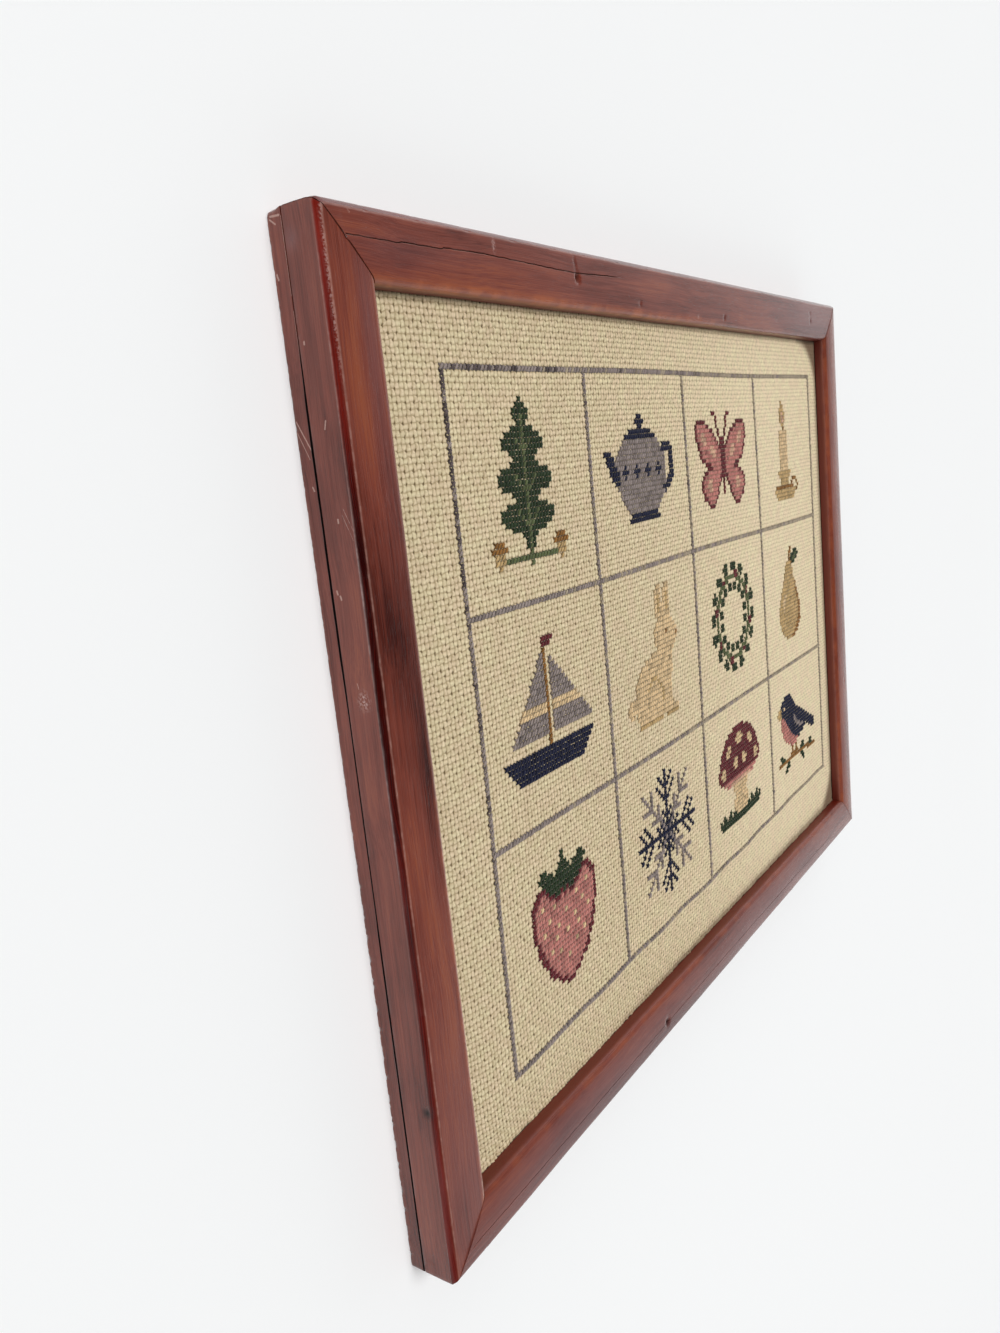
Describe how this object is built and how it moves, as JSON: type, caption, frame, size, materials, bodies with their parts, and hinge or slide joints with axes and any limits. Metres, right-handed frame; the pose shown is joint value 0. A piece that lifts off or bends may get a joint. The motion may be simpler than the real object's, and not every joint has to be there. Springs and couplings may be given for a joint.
{
  "type": "framed cross stitch sampler with its wooden frame",
  "caption": "Cross stitch sampler on beige evenweave cloth, stretched in a mitred, dark stained wooden frame that lies on its back or leans on a stand.",
  "frame": {"origin": "middle of the frame's back, on the surface that it lies on", "axes": "+X towards the picture's right, +Y towards the picture's top, +Z out of the picture's face"},
  "size_m": [0.4, 0.298, 0.0175],
  "materials": {
    "stained_wood": "glossy red brown stain and varnish, worn at the edges",
    "evenweave_cloth": "matt beige evenweave",
    "stranded_cotton": "soft sheen embroidery thread in several colours"
  },
  "bodies": {
    "root": {"rail_bottom": "stained_wood", "rail_right": "stained_wood", "rail_top": "stained_wood", "rail_left": "stained_wood", "strip_bottom": "stained_wood", "strip_right": "stained_wood", "strip_top": "stained_wood", "strip_left": "stained_wood", "cloth": "evenweave_cloth"}
  },
  "joints": []
}
